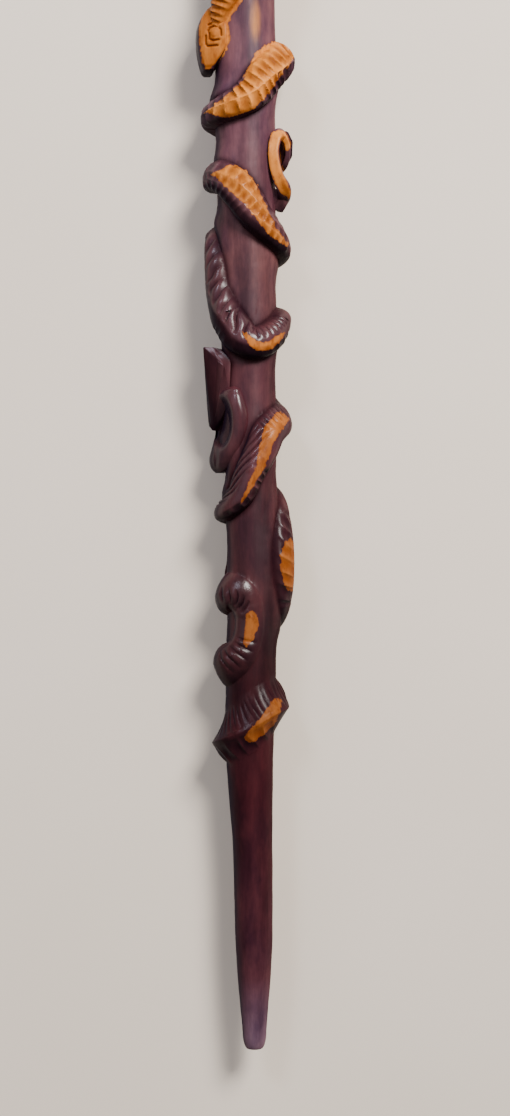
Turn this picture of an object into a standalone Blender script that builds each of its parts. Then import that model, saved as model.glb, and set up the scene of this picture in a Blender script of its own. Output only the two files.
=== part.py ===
"""A bishop's crosier carved from one length of wood, lying on a floor.

Two serpents wind round the shaft in high relief. The staff lies along +Y with its foot
at the low end, the photographed side up (+Z) and the crook curling towards +X.
While it is being made, the shaft's axis is the Y axis and its foot is at y = 0.
"""

import math

import bmesh
import bpy
import numpy as np
from mathutils import Matrix, Vector

MM = 0.001

# Heights along the staff, from the foot
FOOT_LENGTH = 0.224
CARVED_LENGTH = 0.680
GRIP_LENGTH = 0.232
KNOP_LENGTH = 0.064
CROOK_STEM_LENGTH = 0.221

# Shaft radii, from the foot to the knop
FOOT_END_RADIUS = 0.0056
FOOT_TIP_RADIUS = 0.0096
FOOT_WAIST_RADIUS = 0.0161
CARVED_LOW_RADIUS = 0.0182
CARVED_MID_RADIUS = 0.0196
CARVED_TOP_RADIUS = 0.0237
GRIP_RADIUS = 0.0190
FOOT_ROUNDING = 0.014

# Turned rings and the knop that carries the crook
RING_RADIUS = 0.0265
RING_LENGTH = 0.012
KNOP_RADIUS = 0.0310
COLLAR_RADIUS = 0.0225
COLLAR_LENGTH = 0.008

# Crook
CROOK_OUTER_RADIUS = 0.076
CROOK_INNER_RADIUS = 0.026
CROOK_SWEEP_DEG = 405
CROOK_STEM_RADIUS = 0.0165
CROOK_END_RADIUS = 0.0085
CROOK_BUD_RADIUS = 0.0135
CROOK_BUD_SHARE = 0.10

# Carving
NOTCH_PITCH = 0.013
NOTCH_DEPTH = 0.0006
FLARE_ABOVE = (0.0055, 0.011)
FLARE_BELOW = (0.0040, 0.009)
HEAD_HALF_SIZE = (0.0138, 0.0275, 0.0100)

# How the staff lies: its axis above the floor, so that the lowest coils are worn flat
AXIS_HEIGHT = 0.0345
CROOK_FLAT_DEPTH = 0.0009

# Fineness of the solids
SHAFT_SIDES = 18
SHAFT_STEP = 0.013
PLAIN_STEP = 0.022
TUBE_SIDES = 10
TIP_SHARE = 0.5
CURL_STEP = 0.005
CROOK_STEP = 0.010

CARVED_START = FOOT_LENGTH
CARVED_END = CARVED_START + CARVED_LENGTH
GRIP_END = CARVED_END + GRIP_LENGTH
KNOP_END = GRIP_END + KNOP_LENGTH
CROOK_START = KNOP_END - COLLAR_LENGTH

# Each bend of a serpent: share of the carved length, angle round the shaft (0 faces up,
# +90 is +X) and body radius as a share of the shaft's radius at the top of the carving
GREAT_SERPENT_BENDS = (
    # neck, then over the right side and back
    ((0.862, -70, 0.28), (0.882, -60, 0.40), (0.900, -40, 0.42), (0.925, -8, 0.45), (0.957, 40, 0.50)),
    ((0.982, 90, 0.53), (0.976, 140, 0.53), (0.944, 172, 0.52), (0.900, 160, 0.52), (0.866, 125, 0.54)),
    # first band across the front
    ((0.846, 90, 0.57), (0.809, 41, 0.61), (0.777, -5, 0.61), (0.768, -50, 0.58), (0.767, -90, 0.52)),
    # turn behind the left side
    ((0.760, -130, 0.50), (0.731, -163, 0.50), (0.702, -135, 0.50)),
    # second band
    ((0.694, -90, 0.52), (0.691, -55, 0.55), (0.680, -25, 0.57), (0.665, -5, 0.57)),
    ((0.644, 18, 0.57), (0.627, 45, 0.54), (0.610, 90, 0.50)),
    # across the back
    ((0.603, 135, 0.51), (0.607, 180, 0.57), (0.620, 225, 0.51)),
    # third band, a hanging loop
    ((0.623, 252, 0.50), (0.594, 278, 0.54), (0.565, 286, 0.54), (0.538, 305, 0.54)),
    ((0.516, 330, 0.55), (0.501, 350, 0.57), (0.496, 370, 0.57), (0.499, 394, 0.54), (0.507, 418, 0.52)),
    # turn behind the right side
    ((0.522, 450, 0.48), (0.522, 490, 0.47), (0.497, 524, 0.46), (0.466, 528, 0.46)),
    ((0.431, 505, 0.46), (0.416, 475, 0.48)),
    # fourth band
    ((0.413, 448, 0.51), (0.393, 398, 0.52), (0.372, 380, 0.51), (0.346, 355, 0.50)),
    ((0.319, 330, 0.50), (0.306, 300, 0.47), (0.303, 270, 0.44)),
    # turn behind the left side
    ((0.297, 230, 0.43), (0.256, 200, 0.43), (0.215, 230, 0.44)),
    # fifth band, a loop that swells towards the front
    ((0.206, 270, 0.47), (0.210, 300, 0.48), (0.206, 325, 0.47), (0.193, 345, 0.46)),
    ((0.169, 352, 0.46), (0.147, 340, 0.46), (0.128, 315, 0.46), (0.118, 270, 0.45)),
    # across the back
    ((0.109, 225, 0.43), (0.097, 180, 0.43), (0.084, 135, 0.44)),
    # lowest band and the tail
    ((0.074, 90, 0.45), (0.071, 48, 0.42), (0.058, 10, 0.40), (0.046, -30, 0.40), (0.037, -90, 0.41)),
    ((0.024, -130, 0.34), (0.017, -165, 0.23), (0.012, -195, 0.13)),
)
SMALL_SERPENT_BENDS = (
    ((0.372, -100, 0.40), (0.356, -150, 0.42), (0.341, -180, 0.42), (0.326, -210, 0.43)),
    ((0.309, -245, 0.47), (0.279, -267, 0.50), (0.244, -276, 0.51), (0.209, -267, 0.50), (0.184, -245, 0.47)),
    ((0.165, -215, 0.37), (0.150, -185, 0.24), (0.144, -165, 0.10)),
)

# The curls stand free of the shaft. Each point: across, share of the carved length, up,
# and thickness, the lengths in shares of the shaft's radius at the top of the carving
TAIL_CURL = (
    (0.61, 0.703, -0.84, 0.24), (1.36, 0.722, -0.38, 0.24), (1.25, 0.734, 0.13, 0.25),
    (0.98, 0.732, 0.55, 0.27), (0.92, 0.712, 0.67, 0.30), (1.06, 0.693, 0.63, 0.30),
    (1.25, 0.678, 0.46, 0.30), (1.15, 0.666, 0.00, 0.36), (0.74, 0.667, -0.59, 0.30),
)
UPPER_CURL = (
    (-1.05, 0.482, 0.08, 0.36), (-1.10, 0.465, 0.04, 0.40), (-1.06, 0.435, 0.00, 0.40),
    (-0.93, 0.406, -0.04, 0.38), (-0.76, 0.388, -0.08, 0.34),
)
LOWER_CURL = (
    (-0.68, 0.441, 0.46, 0.25), (-0.55, 0.427, 0.59, 0.36), (-0.53, 0.406, 0.59, 0.42),
    (-0.65, 0.384, 0.46, 0.46), (-0.82, 0.368, 0.30, 0.44), (-0.96, 0.353, 0.13, 0.28),
)
HEAD_PLACE = (-1.10, 0.848, 0.30)
HEAD_TURN_DEG = (-10, -28)


def hermite(xs, ys, x):
    """A smooth curve through the points, with slopes taken from the neighbours."""
    xs = np.asarray(xs, float)
    ys = np.asarray(ys, float)
    slopes = np.gradient(ys, xs)
    x = np.clip(x, xs[0], xs[-1])
    i = np.clip(np.searchsorted(xs, x) - 1, 0, len(xs) - 2)
    width = xs[i + 1] - xs[i]
    t = (x - xs[i]) / width
    a = (1 + 2 * t) * (1 - t) ** 2
    b = t * (1 - t) ** 2 * width
    c = t * t * (3 - 2 * t)
    d = t * t * (t - 1) * width
    return a * ys[i] + b * slopes[i] + c * ys[i + 1] + d * slopes[i + 1]


def shaft_radius(height):
    """The plain shaft's radius at a height above the foot, in metres."""
    heights = (
        FOOT_ROUNDING, 0.30 * FOOT_LENGTH, 0.75 * FOOT_LENGTH, CARVED_START,
        CARVED_START + 0.34 * CARVED_LENGTH, CARVED_START + 0.65 * CARVED_LENGTH,
        CARVED_START + 0.80 * CARVED_LENGTH, CARVED_END, GRIP_END,
    )
    radii = (
        FOOT_TIP_RADIUS, 0.86 * FOOT_WAIST_RADIUS, FOOT_WAIST_RADIUS, CARVED_LOW_RADIUS,
        CARVED_MID_RADIUS, 0.96 * CARVED_TOP_RADIUS, CARVED_TOP_RADIUS, CARVED_TOP_RADIUS,
        GRIP_RADIUS,
    )
    return hermite(heights, radii, height)


def shaft_drift(height):
    """How far the hand-carved shaft strays sideways from a straight line."""
    share = (np.asarray(height, float) - CARVED_START) / CARVED_LENGTH
    shares = (-0.33, -0.10, 0.02, 0.18, 0.45, 0.75, 1.0)
    drifts = (0.0, 0.0, -0.0016, 0.0014, 0.0008, 0.0, 0.0)
    return hermite(shares, drifts, share)


def smooth_path(knots, step):
    """Points a step apart on a Catmull-Rom curve through the knots' first three columns."""
    knots = np.asarray(knots, float)
    chord = np.linalg.norm(np.diff(knots[:, :3], axis=0), axis=1)
    along = np.concatenate([[0], np.cumsum(chord)])
    fine = np.linspace(0, along[-1], 40 * len(knots))
    dense = np.stack([hermite(along, column, fine) for column in knots.T], axis=1)
    walked = np.concatenate([[0], np.cumsum(np.linalg.norm(np.diff(dense[:, :3], axis=0), axis=1))])
    count = max(3, round(walked[-1] / step) + 1)
    even = np.linspace(0, walked[-1], count)
    return np.stack([np.interp(even, walked, column) for column in dense.T], axis=1)


def serpent_path(bends, step):
    """A serpent's centre line on the shaft's surface, its radius and which way is out."""
    share, angle, girth = np.array([bend for band in bends for bend in band]).T
    height = CARVED_START + share * CARVED_LENGTH
    angle = np.radians(angle)
    unrolled = np.stack(
        [angle * CARVED_MID_RADIUS, height, np.zeros(len(share)), girth * CARVED_TOP_RADIUS], axis=1
    )
    walked = smooth_path(unrolled, step)
    angle, height = walked[:, 0] / CARVED_MID_RADIUS, walked[:, 1]
    outward = np.stack([np.sin(angle), np.zeros(len(angle)), np.cos(angle)], axis=1)
    centre = outward * shaft_radius(height)[:, None]
    centre[:, 0] += shaft_drift(height)
    centre[:, 1] = height
    return centre, walked[:, 3], outward


def curl_path(points, step):
    """A free curl's centre line and thickness, and which way is out."""
    across, share, up, thick = np.array(points).T
    height = CARVED_START + share * CARVED_LENGTH
    knots = np.stack(
        [across * CARVED_TOP_RADIUS, height, up * CARVED_TOP_RADIUS, thick * CARVED_TOP_RADIUS], axis=1
    )
    walked = smooth_path(knots, step)
    centre = walked[:, :3]
    return centre, walked[:, 3], carried_along(centre)


def carried_along(centre):
    """A direction square to a free line, carried along it without twisting."""
    tangent = np.gradient(centre, axis=0)
    out = np.cross(tangent[0], (0.3, 0.2, 1.0))
    carried = []
    for direction in tangent:
        direction = direction / np.linalg.norm(direction)
        out = out - direction * np.dot(out, direction)
        out = out / np.linalg.norm(out)
        carried.append(out)
    return np.array(carried)


def notched(radius):
    """Every second ring stands proud, which gives the serpent's scales."""
    ridge = np.where(np.arange(len(radius)) % 2 == 0, 0.5, -0.5)
    return radius + NOTCH_DEPTH * ridge


def link(obj, collection):
    collection.objects.link(obj)
    return obj


def as_mesh(obj, collection, weld=0.00001):
    """The evaluated object as a mesh object with its caps welded; the first one is removed."""
    bpy.context.view_layer.update()
    graph = bpy.context.evaluated_depsgraph_get()
    mesh = bpy.data.meshes.new_from_object(obj.evaluated_get(graph))
    mesh.transform(obj.matrix_world)
    if weld:
        shape = bmesh.new()
        shape.from_mesh(mesh)
        bmesh.ops.remove_doubles(shape, verts=shape.verts, dist=weld)
        bmesh.ops.recalc_face_normals(shape, faces=shape.faces)
        shape.to_mesh(mesh)
        shape.free()
    name = obj.name
    bpy.data.objects.remove(obj)
    made = link(bpy.data.objects.new(name, mesh), collection)
    made.hide_render = True
    made.display_type = "WIRE"
    return made


def rings_round(centre, radius, outward):
    """Rings of points round a centre line, the first point of each on the outward side."""
    tangent = np.gradient(centre, axis=0)
    tangent /= np.linalg.norm(tangent, axis=1)[:, None]
    first = outward - tangent * np.sum(outward * tangent, axis=1)[:, None]
    first /= np.linalg.norm(first, axis=1)[:, None]
    second = np.cross(tangent, first)
    turns = 2 * math.pi * np.arange(TUBE_SIDES) / TUBE_SIDES
    spoke = np.cos(turns)[:, None] * first[:, None] + np.sin(turns)[:, None] * second[:, None]
    return centre[:, None] + radius[:, None, None] * spoke


def skin(name, rings, collection):
    """A closed bar through the rings, with low pointed ends."""
    shape = bmesh.new()
    loops = [[shape.verts.new(point) for point in ring] for ring in rings]
    for low, high in zip(loops, loops[1:]):
        for side in range(TUBE_SIDES):
            after = (side + 1) % TUBE_SIDES
            shape.faces.new((low[side], low[after], high[after], high[side]))
    middles = rings.mean(axis=1)
    for loop, middle, inner in ((loops[0], middles[0], middles[1]), (loops[-1], middles[-1], middles[-2])):
        tip = shape.verts.new(middle + TIP_SHARE * (middle - inner))
        for side in range(TUBE_SIDES):
            shape.faces.new((loop[side], loop[(side + 1) % TUBE_SIDES], tip))
    bmesh.ops.recalc_face_normals(shape, faces=shape.faces)
    mesh = bpy.data.meshes.new(name)
    shape.to_mesh(mesh)
    shape.free()
    made = link(bpy.data.objects.new(name, mesh), collection)
    made.hide_render = True
    made.display_type = "WIRE"
    return made


def turned_profile():
    """(radius, height) of the shaft's outline, from the foot up to the knop's top."""
    outline = [(FOOT_END_RADIUS, 0.0)]
    for turn in (0.35, 0.7):
        swell = math.sin(turn * math.pi / 2)
        radius = FOOT_END_RADIUS + (FOOT_TIP_RADIUS - FOOT_END_RADIUS) * swell
        outline.append((radius, FOOT_ROUNDING * (1 - math.cos(turn * math.pi / 2))))
    heights = list(np.arange(FOOT_ROUNDING, CARVED_START, PLAIN_STEP))
    heights += list(np.arange(CARVED_START, CARVED_END, SHAFT_STEP))
    outline += [(float(shaft_radius(height)), float(height)) for height in heights]
    outline += ring_outline(CARVED_END)
    heights = np.linspace(CARVED_END + 2 * RING_LENGTH, GRIP_END - RING_LENGTH, 8)
    outline += [(float(shaft_radius(height)), float(height)) for height in heights]
    outline += knop_outline()
    return outline


def ring_outline(start):
    """A low rounded ring round the shaft, above the carving."""
    middle = start + RING_LENGTH
    around = np.linspace(-0.5 * math.pi, 0.5 * math.pi, 5)
    base = float(shaft_radius(middle))
    return [
        (base + (RING_RADIUS - base) * math.cos(turn), middle + 0.5 * RING_LENGTH * math.sin(turn))
        for turn in around
    ]


def knop_outline():
    """Collar, bulb and collar."""
    bulb = KNOP_LENGTH - 2 * COLLAR_LENGTH
    outline = [(COLLAR_RADIUS, GRIP_END), (COLLAR_RADIUS, GRIP_END + COLLAR_LENGTH)]
    for turn in np.linspace(-0.42 * math.pi, 0.42 * math.pi, 7):
        swell = COLLAR_RADIUS * 0.86 + (KNOP_RADIUS - COLLAR_RADIUS * 0.86) * math.cos(turn)
        outline.append((swell, GRIP_END + COLLAR_LENGTH + 0.5 * bulb * (1 + math.sin(turn) / math.sin(0.42 * math.pi))))
    outline += [(COLLAR_RADIUS, KNOP_END - COLLAR_LENGTH), (COLLAR_RADIUS, KNOP_END)]
    return outline


def make_shaft(collection, serpents):
    """The turned shaft, raised into a fillet beside each serpent."""
    outline = turned_profile()
    outline = [(0.0, 0.0)] + outline + [(0.0, outline[-1][1])]
    profile = bpy.data.meshes.new("shaft_profile")
    profile.from_pydata(
        [(radius, 0, height) for radius, height in reversed(outline)],
        [(i, i + 1) for i in range(len(outline) - 1)],
        [],
    )
    shaft = link(bpy.data.objects.new("shaft", profile), collection)
    screw = shaft.modifiers.new("Turned", "SCREW")
    screw.steps = screw.render_steps = SHAFT_SIDES
    screw.use_merge_vertices = True
    screw.merge_threshold = 0.00001
    shaft.rotation_euler = (-math.pi / 2, 0, 0)
    shaft = as_mesh(shaft, collection)
    centres = np.concatenate([centre for centre, radius, outward in serpents])
    radii = np.concatenate([radius for centre, radius, outward in serpents])
    for vertex in shaft.data.vertices:
        x, height, z = vertex.co
        out = math.hypot(x, z)
        if CARVED_START - 0.03 < height < CARVED_END and out > 0.001:
            swell = out + flare_at(np.array(vertex.co), centres, radii)
            x, z = x * swell / out, z * swell / out
        vertex.co = (x + float(shaft_drift(height)), height, z)
    return shaft


def flare_at(place, centres, radii):
    """How far the shaft is raised at a place, by its nearest serpent."""
    away = np.linalg.norm(centres - place, axis=1) - radii
    nearest = int(np.argmin(away))
    height, reach = FLARE_ABOVE if place[1] > centres[nearest][1] else FLARE_BELOW
    return height * math.exp(-((max(away[nearest], 0) / reach) ** 2))


def make_head(collection):
    """The great serpent's head: a flattened egg, narrow at the snout, that points down."""
    shape = bmesh.new()
    bmesh.ops.create_uvsphere(shape, u_segments=16, v_segments=12, radius=1)
    half_width, half_length, half_depth = HEAD_HALF_SIZE
    for vertex in shape.verts:
        across, up, along = vertex.co
        taper = 1 - 0.28 * max(0, -along) ** 2
        vertex.co = (half_width * across * taper, half_length * along, half_depth * up)
    mesh = bpy.data.meshes.new("serpent_head")
    shape.to_mesh(mesh)
    shape.free()
    tilt, roll = (math.radians(turn) for turn in HEAD_TURN_DEG)
    across, share, up = HEAD_PLACE
    place = Vector(
        (across * CARVED_TOP_RADIUS, CARVED_START + share * CARVED_LENGTH, up * CARVED_TOP_RADIUS)
    )
    mesh.transform(
        Matrix.Translation(place) @ Matrix.Rotation(tilt, 4, "Z") @ Matrix.Rotation(roll, 4, "Y")
    )
    head = link(bpy.data.objects.new("serpent_head", mesh), collection)
    return as_mesh(head, collection)


def crook_path():
    """The crook's centre line: a straight stem, then a spiral that closes over +X."""
    spiral_base = KNOP_END + CROOK_STEM_LENGTH
    stem = np.linspace(CROOK_START, spiral_base, 5)[:-1]
    points = [(0.0, height) for height in stem]
    radii = [CROOK_STEM_RADIUS] * len(stem)
    length = math.radians(CROOK_SWEEP_DEG) * 0.5 * (CROOK_OUTER_RADIUS + CROOK_INNER_RADIUS)
    for share in np.linspace(0, 1, round(length / CROOK_STEP)):
        turn = math.pi - math.radians(CROOK_SWEEP_DEG) * share
        reach = CROOK_OUTER_RADIUS + (CROOK_INNER_RADIUS - CROOK_OUTER_RADIUS) * share ** 0.9
        points.append((CROOK_OUTER_RADIUS + reach * math.cos(turn), spiral_base + reach * math.sin(turn)))
        plain = CROOK_STEM_RADIUS + (CROOK_END_RADIUS - CROOK_STEM_RADIUS) * share
        in_bud = (share - 1 + CROOK_BUD_SHARE) / CROOK_BUD_SHARE
        bud = CROOK_BUD_RADIUS * math.sqrt(max(0.02, 1 - (2 * in_bud - 1) ** 2))
        radii.append(bud if in_bud > 0.5 else max(plain, bud))
    return points, radii


def make_crook(collection):
    """The crook leans so far that its outer edge lies on the floor with the coils."""
    points, radii = crook_path()
    widest = int(np.argmax([across for across, height in points]))
    lean = math.asin((AXIS_HEIGHT - radii[widest] + CROOK_FLAT_DEPTH) / points[widest][0])
    centre = np.array(
        [(across * math.cos(lean), height, -across * math.sin(lean)) for across, height in points]
    )
    outward = np.tile((math.sin(lean), 0.0, math.cos(lean)), (len(centre), 1))
    return skin("crook", rings_round(centre, np.array(radii), outward), collection)


def make_material():
    """Dark stained wood, as the solid's plain finish."""
    material = bpy.data.materials.new("stained_wood")
    material.use_nodes = True
    shader = material.node_tree.nodes["Principled BSDF"]
    shader.inputs["Base Color"].default_value = (0.085, 0.035, 0.032, 1)
    shader.inputs["Roughness"].default_value = 0.32
    shader.inputs["Metallic"].default_value = 0.0
    return material


def fill_pockets(mesh):
    """Keep the outer skin only: pockets shut in between the coils are solid wood."""
    shape = bmesh.new()
    shape.from_mesh(mesh)
    left = set(shape.verts)
    shells = []
    while left:
        shell, edge = set(), {left.pop()}
        while edge:
            shell |= edge
            edge = {link.other_vert(vert) for vert in edge for link in vert.link_edges} - shell
        shells.append(shell)
        left -= shell
    shells.sort(key=len)
    for shell in shells[:-1]:
        bmesh.ops.delete(shape, geom=list(shell), context="VERTS")
    bmesh.ops.triangulate(shape, faces=shape.faces)
    shape.to_mesh(mesh)
    shape.free()


def join_all(obj, collection):
    """One union of the object with everything in a collection, whose bars cross themselves."""
    modifier = obj.modifiers.new("Join the carving", "BOOLEAN")
    modifier.operation = "UNION"
    modifier.operand_type = "COLLECTION"
    modifier.collection = collection
    modifier.use_self = True


def cut(obj, cutter):
    modifier = obj.modifiers.new("Cut by the floor", "BOOLEAN")
    modifier.operation = "DIFFERENCE"
    modifier.object = cutter


def make_floor_cutter(collection):
    """A slab under the floor, which wears the lowest coils flat."""
    shape = bmesh.new()
    bmesh.ops.create_cube(shape, size=1)
    mesh = bpy.data.meshes.new("floor_cutter")
    shape.to_mesh(mesh)
    shape.free()
    length = KNOP_END + CROOK_STEM_LENGTH
    depth = 0.05
    mesh.transform(
        Matrix.Translation((0, 0.5 * length, -AXIS_HEIGHT - 0.5 * depth))
        @ Matrix.Diagonal((0.5, 1.5 * length, depth, 1))
    )
    cutter = link(bpy.data.objects.new("floor_cutter", mesh), collection)
    cutter.hide_render = True
    cutter.display_type = "WIRE"
    return cutter


def main():
    for obj in list(bpy.data.objects):
        bpy.data.objects.remove(obj)
    scene = bpy.context.scene
    parts = bpy.data.collections.new("bishop_crosier")
    cutters = bpy.data.collections.new("cutters")
    carving = bpy.data.collections.new("carving")
    for collection in (parts, cutters, carving):
        scene.collection.children.link(collection)

    ring = 0.5 * NOTCH_PITCH
    great = serpent_path(GREAT_SERPENT_BENDS, ring)
    small = serpent_path(SMALL_SERPENT_BENDS, ring)
    shaft = make_shaft(cutters, [great, small])
    for name, (centre, radius, outward) in (("great_serpent", great), ("small_serpent", small)):
        skin(name, rings_round(centre, notched(radius), outward), carving)
    for name, points in (("tail_curl", TAIL_CURL), ("upper_curl", UPPER_CURL), ("lower_curl", LOWER_CURL)):
        skin(name, rings_round(*curl_path(points, CURL_STEP)), carving)
    make_head(carving)
    make_crook(carving)
    join_all(shaft, carving)
    cut(shaft, make_floor_cutter(cutters))
    crosier = as_mesh(shaft, parts, weld=0)
    fill_pockets(crosier.data)
    crosier.name = "crosier"
    crosier.hide_render = False
    crosier.display_type = "TEXTURED"
    corners = np.array([vertex.co for vertex in crosier.data.vertices])
    low, high = corners.min(axis=0), corners.max(axis=0)
    crosier.data.transform(
        Matrix.Translation((-0.5 * (low[0] + high[0]), -0.5 * (low[1] + high[1]), -low[2]))
    )
    crosier.data.materials.append(make_material())
    crosier.data.shade_smooth()
    crosier.data.set_sharp_from_angle(angle=math.radians(40))


main()
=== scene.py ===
"""A bishop's crosier carved from one length of wood, photographed from straight above.

The wood is one piece: a shaft, carved as a relief round its axis, with the serpent's head,
the free curls and the crook joined to it. While it is made, the shaft's axis is the Y axis
and its foot is at y = 0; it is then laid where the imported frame's staff lies.
"""

import math

import bmesh
import bpy
import numpy as np
from mathutils import Matrix, Vector


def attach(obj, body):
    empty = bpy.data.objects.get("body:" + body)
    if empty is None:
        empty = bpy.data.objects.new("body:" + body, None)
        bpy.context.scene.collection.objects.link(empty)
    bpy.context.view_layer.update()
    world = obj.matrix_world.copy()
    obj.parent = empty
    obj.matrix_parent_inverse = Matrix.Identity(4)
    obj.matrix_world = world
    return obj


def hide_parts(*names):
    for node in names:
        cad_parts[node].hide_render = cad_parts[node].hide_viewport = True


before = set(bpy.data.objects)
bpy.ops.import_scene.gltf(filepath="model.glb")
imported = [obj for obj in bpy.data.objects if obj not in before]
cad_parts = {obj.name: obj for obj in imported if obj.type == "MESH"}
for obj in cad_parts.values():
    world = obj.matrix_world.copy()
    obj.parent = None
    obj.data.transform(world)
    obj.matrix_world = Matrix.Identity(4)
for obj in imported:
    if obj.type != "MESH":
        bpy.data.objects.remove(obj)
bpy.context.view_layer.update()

MM = 0.001

# Heights along the staff, from the foot
FOOT_LENGTH = 0.224
CARVED_LENGTH = 0.680
GRIP_LENGTH = 0.232
KNOP_LENGTH = 0.064
CROOK_STEM_LENGTH = 0.221

# Shaft radii, from the foot to the knop
FOOT_END_RADIUS = 0.0056
FOOT_TIP_RADIUS = 0.0096
FOOT_WAIST_RADIUS = 0.0161
CARVED_LOW_RADIUS = 0.0182
CARVED_MID_RADIUS = 0.0196
CARVED_TOP_RADIUS = 0.0237
GRIP_RADIUS = 0.0190
FOOT_ROUNDING = 0.014

# Turned rings and the knop that carries the crook
RING_RADIUS = 0.0265
RING_LENGTH = 0.012
KNOP_RADIUS = 0.0310
COLLAR_RADIUS = 0.0225
COLLAR_LENGTH = 0.008

# Crook
CROOK_OUTER_RADIUS = 0.076
CROOK_INNER_RADIUS = 0.026
CROOK_SWEEP_DEG = 405
CROOK_STEM_RADIUS = 0.0165
CROOK_END_RADIUS = 0.0085
CROOK_BUD_RADIUS = 0.0135
CROOK_BUD_SHARE = 0.10
CROOK_FLAT_DEPTH = 0.0009

CARVED_START = FOOT_LENGTH
CARVED_END = CARVED_START + CARVED_LENGTH
GRIP_END = CARVED_END + GRIP_LENGTH
KNOP_END = GRIP_END + KNOP_LENGTH
CROOK_START = KNOP_END - COLLAR_LENGTH

# Fineness of the relief before it is thinned where it is plain
COLUMNS = 250
BACK_COARSENESS = 2.2
ROW_STEP = 0.0006
PLAIN_ROW_STEP = 0.004
PATH_STEP = 0.001
CHUNK_LENGTH = 0.060
SHAFT_TRIANGLES = 152000

# Edges sharper than this keep their crease
SHARP_EDGE_DEG = 38

# How much wider the serpents' backs are round the axis than the shaft under them
CARVED_SPREAD = 1.45

# The shaft swells towards each serpent: height and reach, above it and below it. Nothing
# swells farther off than the limit, and a tail narrower than the last width swells it less
FLARE_ABOVE = (0.0058, 0.011)
FLARE_BELOW = (0.0048, 0.010)
FLARE_LIMIT = 0.036
FULL_FLARE_WIDTH = 0.009
# The height over which the swelling and a serpent run into each other
FLARE_BLEND = 0.0012

# Waves left by the knife: round the shaft and along it, seed and height
KNIFE_WAVES = ((3.2, 0.045, 5, 0.00025), (6, 0.012, 8, 0.00008))

# Each bend of a serpent: share of the carved length, angle round the shaft (0 faces up, +90
# is +X), half width and height in shares of the shaft's radius at the top
GREAT_SERPENT = {
    "neck": ((0.862, -62, 0.22, 0.26), (0.88, -49, 0.34, 0.38), (0.898, -36, 0.44, 0.44),
        (0.925, -5, 0.48, 0.46), (0.957, 40, 0.5, 0.5)),
    "top_turn": ((0.982, 90, 0.53, 0.53), (0.976, 140, 0.53, 0.53), (0.944, 172, 0.52, 0.5),
        (0.88, 172, 0.5, 0.5), (0.842, 130, 0.5, 0.54)),
    "first": ((0.835, 90, 0.52, 0.68), (0.809, 41, 0.57, 0.61), (0.777, -5, 0.53, 0.58),
        (0.768, -50, 0.46, 0.56), (0.766, -90, 0.44, 0.53)),
    "first_turn": ((0.76, -135, 0.44, 0.48), (0.731, -175, 0.46, 0.46), (0.704, -140, 0.46, 0.48)),
    "second": ((0.694, -90, 0.5, 0.5), (0.692, -55, 0.53, 0.55), (0.681, -25, 0.55, 0.57),
        (0.666, -5, 0.56, 0.57), (0.644, 18, 0.55, 0.57), (0.628, 45, 0.5, 0.54),
        (0.611, 90, 0.42, 0.53)),
    "second_turn": ((0.604, 135, 0.46, 0.48), (0.607, 180, 0.52, 0.46), (0.62, 220, 0.5, 0.46)),
    "hanging": ((0.623, 250, 0.5, 0.48), (0.594, 278, 0.54, 0.52), (0.565, 286, 0.56, 0.53),
        (0.538, 305, 0.56, 0.54)),
    "third": ((0.516, 330, 0.56, 0.56), (0.501, 350, 0.57, 0.58), (0.496, 370, 0.56, 0.58),
        (0.501, 394, 0.52, 0.56), (0.514, 422, 0.43, 0.55)),
    "third_turn": ((0.528, 450, 0.37, 0.54), (0.528, 490, 0.42, 0.48), (0.5, 528, 0.46, 0.45),
        (0.466, 532, 0.46, 0.45), (0.431, 508, 0.46, 0.46), (0.416, 478, 0.46, 0.52)),
    "fourth": ((0.411, 448, 0.52, 0.57), (0.393, 398, 0.52, 0.55), (0.372, 380, 0.5, 0.52),
        (0.346, 355, 0.48, 0.5), (0.319, 330, 0.47, 0.48), (0.308, 300, 0.45, 0.46),
        (0.305, 270, 0.44, 0.45)),
    "fourth_turn": ((0.299, 225, 0.44, 0.43), (0.256, 190, 0.44, 0.42), (0.215, 225, 0.46, 0.43)),
    "fifth": ((0.2035, 262, 0.66, 0.42), (0.2075, 292, 0.68, 0.46), (0.205, 325, 0.62, 0.36),
        (0.193, 346, 0.56, 0.18), (0.169, 354, 0.52, 0.11), (0.147, 344, 0.54, 0.18),
        (0.13, 318, 0.64, 0.4), (0.1225, 285, 0.74, 0.48), (0.1215, 262, 0.7, 0.44)),
    "fifth_turn": ((0.112, 225, 0.48, 0.42), (0.099, 185, 0.44, 0.42), (0.086, 140, 0.46, 0.43)),
    "lowest": ((0.0765, 90, 0.95, 0.52), (0.071, 48, 0.95, 0.46), (0.058, 10, 0.9, 0.34),
        (0.046, -30, 0.9, 0.36), (0.034, -90, 0.9, 0.48)),
    "tail": ((0.024, -130, 0.38, 0.3), (0.017, -165, 0.25, 0.2), (0.012, -195, 0.13, 0.1)),
}
SMALL_SERPENT = {
    "back": ((0.372, -105, 0.38, 0.36), (0.356, -150, 0.42, 0.4), (0.341, -180, 0.42, 0.42),
        (0.326, -212, 0.43, 0.43)),
    "side": ((0.309, -245, 0.47, 0.47), (0.279, -267, 0.5, 0.56), (0.244, -276, 0.51, 0.62),
        (0.209, -267, 0.5, 0.56), (0.184, -245, 0.47, 0.47)),
    "small_tail": ((0.165, -215, 0.37, 0.36), (0.15, -185, 0.24, 0.24), (0.144, -165, 0.1, 0.1)),
}
BAND_NAMES = [*GREAT_SERPENT, *SMALL_SERPENT]

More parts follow.
